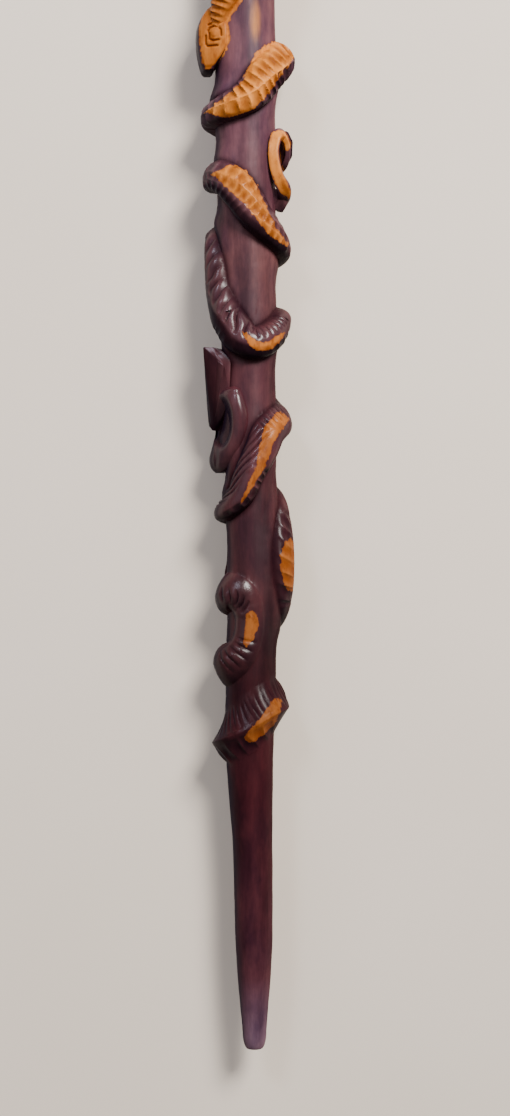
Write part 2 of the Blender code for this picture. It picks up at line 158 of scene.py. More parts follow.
# Each band's section: where its crest lies from -1 (right of its run) to +1 (left), how full
# it is left and right of that (1 a straight slope, 2 round, more is boxy), and how strongly
# the shaft swells towards it
PLAIN_SECTION = (0, 2, 2, 0.8)
SECTIONS = {
    "neck": (0, 2.4, 2.4, 0.4),
    "first": (0.12, 3.2, 2, 0.9),
    "second": (-0.15, 2, 3, 0.45),
    "hanging": (0.3, 1.6, 2.6, 0.7),
    "third": (0.05, 2, 2.8, 0.6),
    "fourth": (0.28, 2.8, 1.5, 0.7),
    "fifth": (-0.12, 1.4, 1.9, 0.15),
    "lowest": (0.12, 1.02, 0.92, 0.1),
    "side": (0, 1.7, 1.9, 0.9),
}

# Stain gathers, and painted shade darkens the seam, beside a serpent this near to it, where the shaft
# swells more than the least
SEAM_REACH = 0.0022
SEAM_LEAST_SWELLING = 0.2
# Flanks painted nearly black as shade: those below this place across a band, at its start and its end
SHADED_FLANKS = {"second": (-0.38, -0.38), "hanging": (-0.35, 0.12), "third": (0.12, -0.42)}
FLANK_SHADE_STRENGTH = 1.35
FLANK_SHADE_SOFTNESS = 0.25

# The tail's curl stands free of the shaft. Each point: across, share of the carved length,
# up, half width and half depth, the lengths in shares of the shaft's radius up there
TAIL_CURL = (
    (1.12, 0.704, -0.3, 0.1, 0.14), (1.3, 0.712, -0.1, 0.11, 0.24), (1.38, 0.725, 0.1, 0.1, 0.28),
    (1.33, 0.736, 0.3, 0.11, 0.26), (1.2, 0.741, 0.45, 0.13, 0.23), (1.04, 0.738, 0.58, 0.15, 0.2),
    (0.94, 0.726, 0.64, 0.17, 0.18), (0.95, 0.708, 0.64, 0.2, 0.18), (1.08, 0.69, 0.58, 0.2, 0.2),
    (1.26, 0.677, 0.46, 0.16, 0.24), (1.22, 0.67, 0.2, 0.15, 0.22), (0.95, 0.674, -0.1, 0.16, 0.22),
)
TAIL_CURL_SQUARENESS = 6.0
# Blocks with flat facets, as corners: across, along the staff and up, in millimetres.
# One stands at the left over the lobe, one inside the tail's curl and one at the curl's root
BLOCKS = {"left_block": (
    (-35.4, 559.5, 14), (-26.8, 558.9, 15.5), (-20.5, 556.4, 16.8), (-13.4, 547.1, 20.5),
    (-18.9, 543.8, 21), (-24.5, 548.7, 18.8), (-35.6, 561, -5), (-21, 560, -5),
    (-33, 512, 0), (-32, 498, -4), (-29, 494, -1), (-22, 500, 2),
    (-15, 518, 13), (-18, 494, -9),
), "curl_block": (
    (24, 732, 6), (33.5, 731, 10), (37.5, 723, 9), (37, 712, 3),
    (30.5, 701, -1), (24, 710, -2), (26, 729, -9), (36, 722, -9),
    (28, 704, -9),
), "root_block": (
    (36, 681, 6), (35, 678, 0), (28.9, 667.6, 1), (19, 672, 5),
    (18, 686, 12), (31, 683, 11), (19, 690, -10), (30, 684, -9),
    (25, 670, -8),
)}
# The block inside the curl is painted as brown as a deep cut: painted shade inside the curl
BLOCK_INNER_SHADE = {"curl_block": 1.3}
# Each block's edges are broken, and it is painted darker with shade over this length from its foot end
BLOCK_EDGE = 0.0005
BLOCK_SHADE_LENGTH = 34.0
BLOCK_SHADE_FADE = 22.0
# The lobe under the left block: height along the staff, its left and right edges and its
# top, then the hollows cut in it as middle, half sizes and depth, all in millimetres
LOBE_SECTIONS = (
    (460.4, -26.8, -20.4, 6), (462.4, -29, -14, 10.5), (466.4, -31.2, -9, 15),
    (472, -31.8, -5, 19), (478.4, -30.2, -1.5, 22.5), (484.8, -28.5, 1, 25),
    (491.2, -26.8, 2.6, 27), (498.4, -27, 3.6, 28.5), (506.4, -28.8, 3.4, 29.5),
    (515.2, -30.6, 1.6, 29), (522.4, -27, -1.5, 27), (526.5, -22, -5, 24),
    (527.8, -18.5, -8, 20),
)
LOBE_BASE = -6.0
LOBE_FULLNESS = 2.6
LOBE_HOLLOWS = (
    (-22.8, 500, 8.4, 18.5, 15), (-30, 495, 5, 11, 12), (-26, 474, 1.6, 10, 1.2),
)
# The head's sections: height along the staff, its left and right edges across the staff and
# the height of its flat face above the axis, in millimetres
HEAD_SECTIONS = (
    (777.6, -33.8, -26.8, 7), (778.4, -35, -25.6, 12), (781, -36.4, -24, 15.5),
    (785, -37.8, -21.2, 17.2), (790, -39, -17.4, 18.1), (795.5, -39.8, -14.1, 18.5),
    (802, -40.2, -12.5, 18.8), (808, -40.1, -12.4, 18.8), (814.5, -39.3, -13.2, 18.2),
    (820.5, -37.2, -15, 17), (825.5, -34.4, -17.5, 15.5), (829, -31.5, -20.5, 13),
    (831.5, -29, -24.5, 10),
)
HEAD_TILT_DEG = 18
HEAD_BASE = -3.0
HEAD_DRAFT = 3.2
# The eye's grooves, from the pupil's middle (across, along, in millimetres)
EYE_PLACE = (-23.9, 806.4)
EYE_GROOVES = (
    ((-5.1, 2.6), (-3.6, 4.8), (-0.4, 5.9), (3.2, 5), (5.2, 2.6), (5.6, -2)),
    ((-4.3, 1), (-3.8, -3.9), (-1.2, -5.5), (3.6, -5.1)),
    ((-6.7, -1.2), (-7.1, -6.7), (-5.5, -9.5), (2.4, -9.5)),
    ((-4.7, 7.5), (-0.4, 8.7)),
)
PUPIL_RADIUS = 2.8
PUPIL_HEIGHT = 0.6
GROOVE_DEPTH = 1.7
GROOVE_HALF_WIDTH = 0.75

# Rows of gouge cuts: band, start and end along it, pitch and depth in millimetres, slant in
# pitches, the part of the section that they cross (low edge at the start and at the end, high
# edge), and where a cut is deepest (below 1 early, above 1 late, 0 between round strands)
GOUGES = (
    ("neck", 0.02, 0.98, 4.7, 1.6, 0.2, -0.95, -0.95, 0.85, 1.8),
    ("first", 0.02, 0.97, 5.7, 3.4, 0.1, -0.97, -0.97, 0.1, 0.5),
    ("first", 0.06, 0.94, 5.7, 3.2, -0.1, 0.12, 0.12, 0.97, 0.55),
    ("second", 0.12, 0.92, 6.6, 1.2, 0.1, 0.2, 0.35, 0.97, 0.6),
    ("second", 0.15, 0.92, 5.4, 1.6, 0.2, -0.3, -0.3, 0.22, 0.8),
    ("second", 0.1, 0.96, 5.4, 1.4, 0.2, -0.9, -0.9, -0.28, 0.8),
    ("hanging", 0.1, 1.2, 10.2, 3.6, 1, 0.12, 0.12, 0.98, 0),
    ("third", -0.2, 0.42, 8.6, 3.2, 1.3, 0.02, -0.05, 0.98, 0),
    ("third", 0.5, 1.02, 3.8, 2.2, 0.1, 0.1, 0.1, 0.98, 0),
    ("third", 0.05, 0.96, 5.4, 1.2, 0.1, -0.97, -0.97, -0.35, 1),
    ("fourth", 0.00, 0.25, 4, 2, 0.1, -0.96, -0.96, -0.15, 0),
    ("fourth", 0.22, 0.95, 15, 1.8, 3, -0.98, -0.98, -0.05, 0),
    ("fourth", 0.48, 0.84, 6, 2, 0, 0.6, 0.6, 0.98, 1),
    ("fifth", 0.16, 0.38, 5, 1.8, 0.6, -0.5, -0.5, 0.3, 0),
    ("fifth", 0.58, 0.8, 5.6, 2.2, 0.9, -0.6, -0.6, 0.7, 0),
    ("lowest", 0.02, 0.98, 4.4, 0.9, 0.5, -0.92, -0.92, 0.00, 0),
    ("lowest", 0.35, 0.96, 9, 1.4, 0.5, 0.25, 0.25, 0.95, 0.8),
    ("side", 0.14, 0.84, 9.6, 2.6, -0.9, -0.97, -0.97, -0.08, 0.6),
)

# Where the high parts are scraped bare, as outlines seen from the camera's place: across and
# along the staff, in millimetres
BARE_OUTLINES = (
    # the neck and the face of the head
    ((-26.6, 848), (-27.2, 837), (-30.4, 833), (-33.8, 828.5), (-35.7, 825), (-36.8, 818), (-37, 808),
     (-36.3, 798), (-34.8, 789), (-32.9, 783), (-28.6, 781.5), (-25.6, 785), (-20.5, 790),
     (-15.4, 797), (-12.8, 803), (-11.5, 811), (-13.2, 819), (-10, 826), (-4.4, 834), (2.1, 843),
     (7.8, 848)),
    # the wide first band
    ((-33, 748.4), (-26.7, 754.4), (-13.8, 764), (-2.5, 775), (2.4, 784), (8.9, 797), (15.3, 801.6),
     (24.2, 805.6), (30.6, 806.4), (36, 803), (41, 797), (39, 791), (33.5, 783), (23.8, 769),
     (17.3, 761), (8.4, 752), (-0.4, 747), (-10.8, 743.6), (-22, 744.8)),
    # the tail's free curl
    ((26.7, 735), (21, 732.5), (18.2, 725), (17, 714), (18.6, 704), (22.6, 692), (29, 682),
     (34.9, 678.6), (37.2, 683), (32.7, 693), (28.8, 706), (26.9, 717), (34, 717), (37, 722),
     (35.6, 729), (31.5, 733.5)),
    # the upper half of the second band
    ((-29, 699), (-24, 702), (-14.4, 707), (-8, 706.4), (0.7, 701.6), (8.6, 691), (14, 679),
     (19.6, 666), (26, 654), (34.6, 641), (30, 641), (22, 646.4), (14.7, 653), (8.4, 661.6),
     (2, 671), (-6, 679), (-14, 685.6), (-21.7, 693.6)),
    # a thin sickle on the third
    ((-4.5, 573.6), (-0.5, 572), (7.4, 565.6), (13, 564.4), (17.8, 565.6), (22.7, 568.8),
     (30, 573), (27.4, 566.4), (23.4, 561.6), (19.4, 558.4), (13, 556.8), (7.3, 558),
     (1.8, 560.8), (-1.4, 565.6)),
    # the fourth, running out to a point
    ((19.6, 505.6), (23.7, 508.8), (28.5, 508.4), (33, 503), (26, 493.6), (19.4, 481.6),
     (14.5, 469), (12, 462.4), (3.9, 450.4), (-3.4, 439), (-7.5, 432), (-6.6, 437.6),
     (-0.9, 451), (5.6, 465), (7.4, 477), (10.7, 493.6), (14, 499)),
    # the small serpent's side
    ((26.6, 402.4), (32.3, 409.6), (38, 402), (39, 378), (37, 365.6), (29.5, 364), (25.6, 376),
     (24, 386), (24.2, 394.4)),
    # the fifth loop and the lowest band
    ((-3.5, 348), (1.3, 350.4), (5.3, 346.4), (6.8, 339), (3.5, 331), (2.7, 326.4), (-3.8, 320),
     (-6, 324), (-4.4, 334.4)),
    ((15, 276), (18, 280), (23, 280), (25, 276), (22, 265.6), (18, 258.4), (11.6, 251),
     (0.3, 243.6), (-7, 246.4), (-2.8, 252.8), (4.5, 261.6), (9.3, 267)),
)
# Where the stain is rubbed thin beside the head: middle and half sizes
WORN_OVAL = ((8.4, 822.0), (4.6, 18.0))
# A patch ends where the wood's side is steeper than this upward share of its normal
STEEP_UPWARD = 0.34
STEEP_FADE = 0.16
STAINED = -4.0

# The camera's place over the staff, its turn and the height of the staff that it shows
CAMERA_ACROSS = 0.0041
CAMERA_ALONG = 0.392
CAMERA_DISTANCE = 1.4
CAMERA_TURN_DEG = -0.558
PICTURE_HEIGHT = 0.8928


def hermite(xs, ys, x):
    """A smooth curve through the points, with slopes taken from the neighbours."""
    xs = np.asarray(xs, float)
    ys = np.asarray(ys, float)
    slopes = np.gradient(ys, xs)
    x = np.clip(x, xs[0], xs[-1])
    i = np.clip(np.searchsorted(xs, x) - 1, 0, len(xs) - 2)
    width = xs[i + 1] - xs[i]
    t = (x - xs[i]) / width
    a = (1 + 2 * t) * (1 - t) ** 2
    b = t * (1 - t) ** 2 * width
    c = t * t * (3 - 2 * t)
    d = t * t * (t - 1) * width
    return a * ys[i] + b * slopes[i] + c * ys[i + 1] + d * slopes[i + 1]


def ease(x):
    """0 below 0, 1 above 1, smooth between."""
    x = np.clip(x, 0, 1)
    return x * x * (3 - 2 * x)


def unit(rows):
    """The rows as directions of length 1."""
    return rows / np.linalg.norm(rows, axis=-1, keepdims=True)


def line_distance(x, y, start, end):
    """How far places are from a straight stretch between two points."""
    (ax, ay), (bx, by) = start, end
    t = ((x - ax) * (bx - ax) + (y - ay) * (by - ay)) / ((bx - ax) ** 2 + (by - ay) ** 2)
    t = np.clip(t, 0, 1)
    return np.hypot(x - ax - t * (bx - ax), y - ay - t * (by - ay))


def wave_noise(u, v, seed):
    """A smooth noise in about -1 to 1 from a few crossed waves."""
    chance = np.random.default_rng(seed)
    total = np.zeros_like(u)
    for _ in range(7):
        angle, pitch = chance.uniform(0, 2 * math.pi), chance.uniform(0.6, 1.7)
        phase = chance.uniform(0, 6)
        total += np.sin(pitch * (u * math.cos(angle) + v * math.sin(angle)) * 2 * math.pi + phase)
    return total / 4.5


def shaft_radius(height):
    """The plain shaft's radius at a height above the foot, in metres."""
    heights = (
        FOOT_ROUNDING, 0.30 * FOOT_LENGTH, 0.75 * FOOT_LENGTH, CARVED_START,
        CARVED_START + 0.34 * CARVED_LENGTH, CARVED_START + 0.65 * CARVED_LENGTH,
        CARVED_START + 0.80 * CARVED_LENGTH, CARVED_END, GRIP_END,
    )
    radii = (
        FOOT_TIP_RADIUS, 0.86 * FOOT_WAIST_RADIUS, FOOT_WAIST_RADIUS, CARVED_LOW_RADIUS,
        CARVED_MID_RADIUS, 0.96 * CARVED_TOP_RADIUS, CARVED_TOP_RADIUS, CARVED_TOP_RADIUS,
        GRIP_RADIUS,
    )
    return hermite(heights, radii, height)


def shaft_drift(height):
    """How far the hand-carved shaft strays sideways from a straight line."""
    share = (np.asarray(height, float) - CARVED_START) / CARVED_LENGTH
    shares = (-0.33, -0.10, 0.02, 0.18, 0.45, 0.75, 1.0)
    drifts = (0.0, 0.0, -0.0016, 0.0014, 0.0008, 0.0, 0.0)
    return hermite(shares, drifts, share)


def smooth_path(knots, step):
    """Points a step apart on a smooth curve through the knots' first three columns."""
    knots = np.asarray(knots, float)
    chord = np.linalg.norm(np.diff(knots[:, :3], axis=0), axis=1)
    along = np.concatenate([[0], np.cumsum(chord)])
    fine = np.linspace(0, along[-1], 40 * len(knots))
    dense = np.stack([hermite(along, column, fine) for column in knots.T], axis=1)
    walked = np.concatenate([[0], np.cumsum(np.linalg.norm(np.diff(dense[:, :3], axis=0), axis=1))])
    count = max(3, round(walked[-1] / step) + 1)
    even = np.linspace(0, walked[-1], count)
    return np.stack([np.interp(even, walked, column) for column in dense.T], axis=1)


class Serpent:
    """A serpent's run on the unrolled shaft: its place, section and band at each step."""

    def __init__(self, bands):
        rows = [
            (math.radians(angle) * CARVED_MID_RADIUS, CARVED_START + share * CARVED_LENGTH, 0.0,
             wide * CARVED_TOP_RADIUS, tall * CARVED_TOP_RADIUS, *SECTIONS.get(name, PLAIN_SECTION),
             BAND_NAMES.index(name))
            for name, bends in bands.items() for share, angle, wide, tall in bends
        ]
        walked = smooth_path(rows, PATH_STEP)
        self.angle = walked[:, 0] / CARVED_MID_RADIUS
        self.height = walked[:, 1]
        self.section = walked[:, 3:9]
        self.band = np.round(walked[:, 9]).astype(int)
        self.along = np.arange(len(walked)) * PATH_STEP
        self.run = unit(np.gradient(walked[:, :2], axis=0))
        self.share = np.zeros(len(walked))
        for band in np.unique(self.band):
            here = np.nonzero(self.band == band)[0]
            self.share[here] = (here - here[0]) / max(1, here[-1] - here[0])


SERPENTS = [Serpent(GREAT_SERPENT), Serpent(SMALL_SERPENT)]


def relief(angle, height):
    """The serpents' rise over the shaft, the shaft's swelling beside them, and facts.

    The facts are the nearest serpent's band, the place along and across it (-1 to 1 inside
    its body), how far outside it a place is, and how strongly the shaft swells there.
    """
    rise = np.zeros_like(angle)
    flare = np.zeros_like(angle)
    best = np.full_like(angle, -1.0)
    keys = ("band", "along", "share", "side", "away", "swelling")
    facts = {key: np.full_like(angle, -1.0) for key in keys}
    facts["away"] += 2
    around = shaft_radius(height)
    for serpent in SERPENTS:
        count = max(1, round(serpent.along[-1] / CHUNK_LENGTH))
        edges = np.linspace(0, len(serpent.along) - 1, count + 1).astype(int)
        for start, end in zip(edges, edges[1:]):
            part = slice(start, end + 1)
            low = serpent.height[part].min() - FLARE_LIMIT
            high = serpent.height[part].max() + FLARE_LIMIT
            near = np.nonzero((height > low) & (height < high))[0]
            turn = angle[near][:, None] - serpent.angle[part][None]
            turn = (turn + math.pi) % (2 * math.pi) - math.pi
            du = turn * around[near][:, None]
            dv = height[near][:, None] - serpent.height[part][None]
            square = du * du + dv * dv
            nearest = square.argmin(axis=1)
            pick = (np.arange(len(near)), nearest)
            away, du, dv = np.sqrt(square[pick]), du[pick], dv[pick]
            step = start + nearest
            wide, tall, crest, plus, minus, swelling = serpent.section[step].T
            cross = serpent.run[step, 0] * dv - serpent.run[step, 1] * du
            side = np.sign(cross) * away / wide
            over = side > crest
            out = np.where(over, side - crest, crest - side) / np.where(over, 1 - crest, 1 + crest)
            full = np.where(over, plus, minus)
            body = tall * np.clip(1 - out ** full, 0, None) ** (1 / full)
            sway = 0.5 + 0.5 * dv / np.maximum(away, 1e-6)
            lean = np.sin(angle[near])
            above = 0.15 + 0.85 * ease((-lean - 0.25) / 0.6)
            below = 0.15 + 0.85 * ease((lean - 0.25) / 0.6)
            size = swelling * (sway * above * FLARE_ABOVE[0] + (1 - sway) * below * FLARE_BELOW[0])
            reach = sway * FLARE_ABOVE[1] + (1 - sway) * FLARE_BELOW[1]
            swell = size * np.exp(-((np.clip(away - wide, 0, None) / reach) ** 2))
            swell *= ease(wide / FULL_FLARE_WIDTH)
            flare[near] = np.maximum(flare[near], swell)
            rise[near] = np.maximum(rise[near], body)
            score = body - 0.2 * away
            winner = score > best[near]
            chosen = near[winner]
            best[chosen] = score[winner]
            # a line square to the serpent on the carved surface, which is wider than the shaft
            ahead, up = serpent.run[step].T
            wider = ahead * up * (CARVED_SPREAD - 1 / CARVED_SPREAD)
            wider /= up * up / CARVED_SPREAD + ahead * ahead * CARVED_SPREAD
            onward = ahead * du + up * dv - wider * cross
            found = (
                serpent.band[step], serpent.along[step] + onward, serpent.share[step], side,
                away - wide, swelling,
            )
            for key, values in zip(facts, found):
                facts[key][chosen] = values[winner]
    return rise, flare, facts


def gouging(facts):
    """How deep the gouges are, and where between two cuts a place lies (0 crest, 1 hollow)."""
    depth = np.zeros_like(facts["band"])
    hollow = np.zeros_like(depth)
    side, along, share = facts["side"], facts["along"], facts["share"]
    for row, (name, start, end, pitch, deep, slant, first, last, high, deepest) in enumerate(GOUGES):
        low = first + (last - first) * (share - start) / (end - start)
        inside = np.nonzero(
            (facts["band"] == BAND_NAMES.index(name)) & (side > low) & (side < high)
            & (share >= start) & (share <= end)
        )[0]
        across = (side[inside] - low[inside]) / (high - low[inside])
        wobble = 0.16 * wave_noise(along[inside] / 0.02, across * 0.4, 3 + row)
        place = along[inside] / (pitch * MM) + slant * across + 0.25 * (across - 0.5) ** 2 + wobble
        number = np.floor(place)
        if deepest:
            cut = np.sin(math.pi * (place - number) ** deepest) ** 0.8
        else:
            cut = 1 - np.abs(np.sin(math.pi * place)) ** 0.8
        chance = 0.80 + 0.28 * np.sin(number * 12.9898 + row * 4.1)
        ends = np.minimum(share[inside] - start, end - share[inside]) / 0.04
        bite = np.sin(math.pi * np.clip(across, 0, 1)) ** 0.6 * ease(ends + 0.3) * cut
        depth[inside] = np.maximum(depth[inside], deep * MM * chance * bite)
        hollow[inside] = np.maximum(hollow[inside], bite)
    return depth, hollow


def inside_outline(x, y, outline):
    """Distance to an outline, positive inside it."""
    corners = np.array(outline, float)
    inside = np.zeros(len(x), bool)
    nearest = np.full(len(x), 1e9)
    for (ax, ay), (bx, by) in zip(corners, np.roll(corners, -1, axis=0)):
        crosses = (ay > y) != (by > y)
        inside ^= crosses & (x < (bx - ax) * (y - ay) / ((by - ay) or 1e-9) + ax)
        nearest = np.minimum(nearest, line_distance(x, y, (ax, ay), (bx, by)))
    return np.where(inside, nearest, -nearest)


def seen_from_above(points):
    """Where points appear from the camera's place, in millimetres in the axis's plane."""
    grow = CAMERA_DISTANCE / (CAMERA_DISTANCE - points[:, 2])
    across = CAMERA_ACROSS + (points[:, 0] - CAMERA_ACROSS) * grow
    along = CAMERA_ALONG + (points[:, 1] - CAMERA_ALONG) * grow
    return across / MM, along / MM


def bareness(points):
    """How far inside a bare patch each point is, in millimetres; negative outside."""
    x, y = seen_from_above(points)
    inside = np.full(len(points), -9.0)
    for outline in BARE_OUTLINES:
        (low_x, low_y), (high_x, high_y) = np.min(outline, axis=0) - 8, np.max(outline, axis=0) + 8
        near = np.nonzero((x > low_x) & (x < high_x) & (y > low_y) & (y < high_y))[0]
        inside[near] = np.maximum(inside[near], inside_outline(x[near], y[near], outline))
    return np.where(points[:, 2] > -0.004, inside, -9.0)


def wear(points):
    """How far the stain is rubbed away in the soft oval beside the head, from 0 to 1."""
    x, y = seen_from_above(points)
    (middle_x, middle_y), (half_x, half_y) = WORN_OVAL
    return ease(1.25 - np.hypot((x - middle_x) / half_x, (y - middle_y) / half_y)) * (points[:, 2] > 0)


def column_angles():
    """Angles round the shaft, closer together on the side that faces up."""
    fine = np.linspace(-math.pi, math.pi, 2000)
    weight = 1 / (1 + (BACK_COARSENESS - 1) * ease((np.abs(fine) - math.radians(100)) / 0.3))
    total = np.concatenate([[0], np.cumsum(0.5 * (weight[1:] + weight[:-1]))])
    return np.interp(np.linspace(0, total[-1], COLUMNS + 1)[:-1], total, fine)


def swelling_outline(start, end, inner, outer, reach, count):
    """A turned swelling: the arc that bulges from the inner radius to the outer."""
    middle, half = 0.5 * (start + end), 0.5 * (end - start)
    return [
        (inner + (outer - inner) * math.cos(turn), middle + half * math.sin(turn) / math.sin(reach))
        for turn in np.linspace(-reach, reach, count)
    ]


def ring_outline():
    """A low rounded ring round the shaft, above the carving."""
    start, end = CARVED_END + 0.5 * RING_LENGTH, CARVED_END + 1.5 * RING_LENGTH
    base = float(shaft_radius(0.5 * (start + end)))
    return swelling_outline(start, end, base, RING_RADIUS, 0.5 * math.pi, 13)


def knop_outline():
    """Collar, bulb and collar."""
    bulb = swelling_outline(
        GRIP_END + COLLAR_LENGTH, KNOP_END - COLLAR_LENGTH, 0.86 * COLLAR_RADIUS, KNOP_RADIUS,
        0.42 * math.pi, 19,
    )
    return collar_outline(GRIP_END) + bulb + collar_outline(KNOP_END - COLLAR_LENGTH)


def collar_outline(start):
    """A short flat band with broken edges."""
    edge = 0.0012
    return [
        (COLLAR_RADIUS - edge, start), (COLLAR_RADIUS, start + edge),
        (COLLAR_RADIUS, start + 0.5 * COLLAR_LENGTH),
        (COLLAR_RADIUS, start + COLLAR_LENGTH - edge), (COLLAR_RADIUS - edge, start + COLLAR_LENGTH),
    ]


def shaft_outline(start, end, step):
    """A stretch of the plain shaft."""
    heights = np.arange(start, end, step)
    return [(float(shaft_radius(height)), float(height)) for height in heights]


def turned_profile():
    """(radius, height) of the plain shaft, from the foot up to the knop's top."""
    outline = [(FOOT_END_RADIUS * share, 0.0) for share in (0.5, 0.85)]
    for turn in np.linspace(0, 0.5 * math.pi, 9)[:-1]:
        radius = FOOT_END_RADIUS + (FOOT_TIP_RADIUS - FOOT_END_RADIUS) * math.sin(turn)
        outline.append((radius, FOOT_ROUNDING * (1 - math.cos(turn))))
    outline += shaft_outline(FOOT_ROUNDING, CARVED_START, PLAIN_ROW_STEP)
    outline += shaft_outline(CARVED_START, CARVED_END, ROW_STEP)
    outline += ring_outline()
    outline += shaft_outline(CARVED_END + 2 * RING_LENGTH, GRIP_END - 0.002, PLAIN_ROW_STEP)
    return outline + knop_outline()


def new_object(name, data):
    """An object of the scene with this name and data."""
    made = bpy.data.objects.new(name, data)
    bpy.context.scene.collection.objects.link(made)
    return made


def finished(shape, name, mesh):
    """An object of the worked shape, with its faces turned outward."""
    bmesh.ops.recalc_face_normals(shape, faces=shape.faces)
    shape.to_mesh(mesh)
    shape.free()
    return new_object(name, mesh)


def grid_skin(name, rings):
    """A closed mesh through rings of points, with a point in the middle of each end."""
    count, around = rings.shape[:2]
    points = np.concatenate([
        rings.reshape(-1, 3), rings[0].mean(axis=0)[None], rings[-1].mean(axis=0)[None],
    ])
    index = np.arange(count * around).reshape(count, around)
    after = np.roll(index, -1, axis=1)
    quads = np.stack([index[:-1], after[:-1], after[1:], index[1:]], axis=-1).reshape(-1, 4)
    low = np.stack([after[0], index[0], np.full(around, count * around)], axis=-1)
    high = np.stack([index[-1], after[-1], np.full(around, count * around + 1)], axis=-1)
    mesh = bpy.data.meshes.new(name)
    mesh.from_pydata(points.tolist(), [], quads.tolist() + low.tolist() + high.tolist())
    shape = bmesh.new()
    shape.from_mesh(mesh)
    return finished(shape, name, mesh)


def add_marks(obj, **marks):
    """Store numbers for the finish at the mesh's points: one for all, or one for each."""
    for name in ("bare", "hollow", "recess", "worn", "raised"):
        layer = obj.data.attributes.new(name, "FLOAT", "POINT")
        values = np.zeros(len(obj.data.vertices), np.float32)
        given = marks.get(name, 0)
        values[:len(given) if np.ndim(given) else None] = given
        layer.data.foreach_set("value", values)


def carved_surface(angle, height, radius):
    """Distance from the axis of the finished surface."""
    rise, flare, facts = relief(angle, height)
    carved = ease((height - CARVED_START + 0.03) / 0.02) * ease((CARVED_END - height) / 0.004 + 1)
    depth, _ = gouging(facts)
    wood = radius + carved * np.maximum(rise, flare)
    mixed = np.clip(0.5 + 0.5 * (rise - flare) / FLARE_BLEND, 0, 1)
    wood += carved * FLARE_BLEND * mixed * (1 - mixed) * 0.5
    knife = 0
    for round_it, along_it, seed, high in KNIFE_WAVES:
        knife = knife + wave_noise(angle * round_it / 6, height / along_it, seed) * high
    return wood + knife * ease((height - 0.01) / 0.02) - carved * depth


def thinned(obj, triangles):
    """The same surface with fewer triangles where it is plain."""
    obj.data.calc_loop_triangles()
    collapse = obj.modifiers.new("Thin", "DECIMATE")
    collapse.ratio = min(1.0, triangles / len(obj.data.loop_triangles))
    graph = bpy.context.evaluated_depsgraph_get()
    mesh = bpy.data.meshes.new_from_object(obj.evaluated_get(graph))
    obj.modifiers.clear()
    obj.data = mesh


def rows_of(vectors, key="co"):
    """What a mesh stores for its points, as rows of x, y, z."""
    rows = np.empty(len(vectors) * 3, np.float32)
    vectors.foreach_get(key, rows)
    return rows.reshape(-1, 3).astype(float)


def carved_shaft():
    """The shaft with the serpents in relief, from foot to knop."""
    outline = np.array(turned_profile())
    turns = column_angles()
    angle, height = np.meshgrid(turns, outline[:, 1])
    radius = np.repeat(outline[:, 0][:, None], len(turns), axis=1)
    shape, angle, height, radius = angle.shape, angle.ravel(), height.ravel(), radius.ravel()
    wood = carved_surface(angle, height, radius)
    points = np.stack(
        [wood * np.sin(angle) + shaft_drift(height), height, wood * np.cos(angle)], axis=1
    )
    made = grid_skin("crosier_wood", points.reshape(*shape, 3))
    thinned(made, SHAFT_TRIANGLES)
    places = rows_of(made.data.vertices)
    angle = np.arctan2(places[:, 0] - shaft_drift(places[:, 1]), places[:, 2])
    _, _, facts = relief(angle, places[:, 1])
    _, hollow = gouging(facts)
    carved = (places[:, 1] > CARVED_START - 0.02) & (places[:, 1] < CARVED_END)
    # painted shade along the seams beside the serpents, together with the stain gathered there
    recess = np.exp(-((facts["away"] / SEAM_REACH) ** 2)) * carved
    recess *= ease((facts["swelling"] - SEAM_LEAST_SWELLING) / SEAM_LEAST_SWELLING)
    # painted shade: a band's flanks below this edge go nearly black
    for name, (first, last) in SHADED_FLANKS.items():
        here = (facts["band"] == BAND_NAMES.index(name)) & (facts["away"] < 0)
        edge = first + (last - first) * facts["share"]
        painted_shade = FLANK_SHADE_STRENGTH * ease((edge - facts["side"]) / FLANK_SHADE_SOFTNESS)
        recess = np.maximum(recess, painted_shade * here)
    raised = ease(0.5 - facts["away"] / 0.004) * carved
    add_marks(made, hollow=hollow * carved, recess=recess, raised=raised)
    return made


def rings_round(centre, radius, outward, sides, squareness=2.0, flatness=1.0):
    """Rings of points round a centre line; a squareness over 2 gives flats and corners."""
    flatness = np.broadcast_to(flatness, radius.shape)
    tangent = unit(np.gradient(centre, axis=0))
    first = unit(outward - tangent * np.sum(outward * tangent, axis=1)[:, None])
    second = np.cross(tangent, first)
    turns = 2 * math.pi * np.arange(sides) / sides
    cos, sin = np.cos(turns), np.sin(turns)
    reach = (np.abs(cos) ** squareness + np.abs(sin) ** squareness) ** (-1 / squareness)
    spoke = flatness[:, None, None] * (reach * cos)[:, None] * first[:, None]
    spoke = spoke + (reach * sin)[:, None] * second[:, None]
    return centre[:, None] + radius[:, None, None] * spoke


def carried_along(centre, start):
    """A direction square to a free line, carried along it without twisting."""
    out = np.array(start, float)
    carried = []
    for direction in unit(np.gradient(centre, axis=0)):
        out = unit(out - direction * np.dot(out, direction))
        carried.append(out)
    return np.array(carried)


